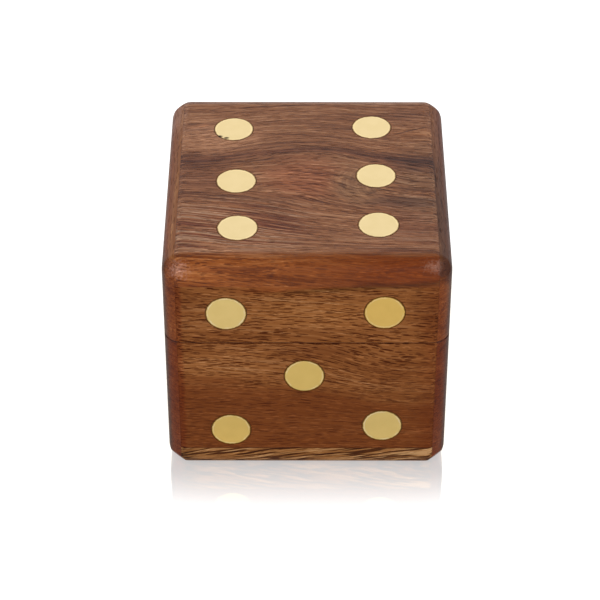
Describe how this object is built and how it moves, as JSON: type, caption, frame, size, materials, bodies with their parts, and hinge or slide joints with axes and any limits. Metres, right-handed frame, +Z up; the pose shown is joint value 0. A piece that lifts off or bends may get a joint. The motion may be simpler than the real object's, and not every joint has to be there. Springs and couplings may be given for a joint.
{
  "type": "dice box",
  "caption": "Rosewood box shaped like a large die, with flush brass pips, a lift-off lid located by an inner liner, and small wooden dice inside.",
  "frame": {"origin": "middle of the underside, on the surface that the box stands on", "axes": "+Z up, +X to the box's right as seen from the front, +Y from the front to the back"},
  "size_m": [0.07, 0.072, 0.066],
  "materials": {
    "top_board": "satin",
    "front_board": "satin",
    "back_board": "satin",
    "left_board": "satin",
    "right_board": "satin",
    "bottom_board": "satin",
    "liner": "satin",
    "pip_brass": "satin",
    "die_wood": "satin",
    "die_brass": "satin"
  },
  "bodies": {
    "base": {"base_bottom_board": "bottom_board", "base_front_wall": "front_board", "base_back_wall": "back_board", "base_left_wall": "left_board", "base_right_wall": "right_board", "liner_front": "liner", "liner_back": "liner", "liner_left": "liner", "liner_right": "liner", "pip_front_3": "pip_brass", "pip_front_4": "pip_brass", "pip_front_5": "pip_brass", "pip_right_2": "pip_brass", "pip_right_3": "pip_brass", "pip_left_3": "pip_brass", "pip_left_4": "pip_brass", "pip_back_2": "pip_brass", "pip_bottom_1": "pip_brass"},
    "lid": {"lid_top_board": "top_board", "lid_front_wall": "front_board", "lid_back_wall": "back_board", "lid_left_wall": "left_board", "lid_right_wall": "right_board", "pip_top_1": "pip_brass", "pip_top_2": "pip_brass", "pip_top_3": "pip_brass", "pip_top_4": "pip_brass", "pip_top_5": "pip_brass", "pip_top_6": "pip_brass", "pip_front_1": "pip_brass", "pip_front_2": "pip_brass", "pip_right_1": "pip_brass", "pip_left_1": "pip_brass", "pip_left_2": "pip_brass", "pip_back_1": "pip_brass"},
    "die_1": {"die_1": "die_wood", "die_1_pips": "die_brass"},
    "die_2": {"die_2": "die_wood", "die_2_pips": "die_brass"},
    "die_3": {"die_3": "die_wood", "die_3_pips": "die_brass"},
    "die_4": {"die_4": "die_wood", "die_4_pips": "die_brass"},
    "die_5": {"die_5": "die_wood", "die_5_pips": "die_brass"}
  },
  "joints": [
    {"name": "lid_lift", "type": "slide", "parent": "base", "child": "lid", "axis": [0, 0, 1], "range_m": [0, 0.06]},
    {"name": "die_1_lift", "type": "slide", "parent": "base", "child": "die_1", "axis": [0, 0, 1], "range_m": [0, 0.03]},
    {"name": "die_2_lift", "type": "slide", "parent": "base", "child": "die_2", "axis": [0, 0, 1], "range_m": [0, 0.03]},
    {"name": "die_3_lift", "type": "slide", "parent": "base", "child": "die_3", "axis": [0, 0, 1], "range_m": [0, 0.03]},
    {"name": "die_4_lift", "type": "slide", "parent": "base", "child": "die_4", "axis": [0, 0, 1], "range_m": [0, 0.03]},
    {"name": "die_5_lift", "type": "slide", "parent": "base", "child": "die_5", "axis": [0, 0, 1], "range_m": [0, 0.03]}
  ]
}
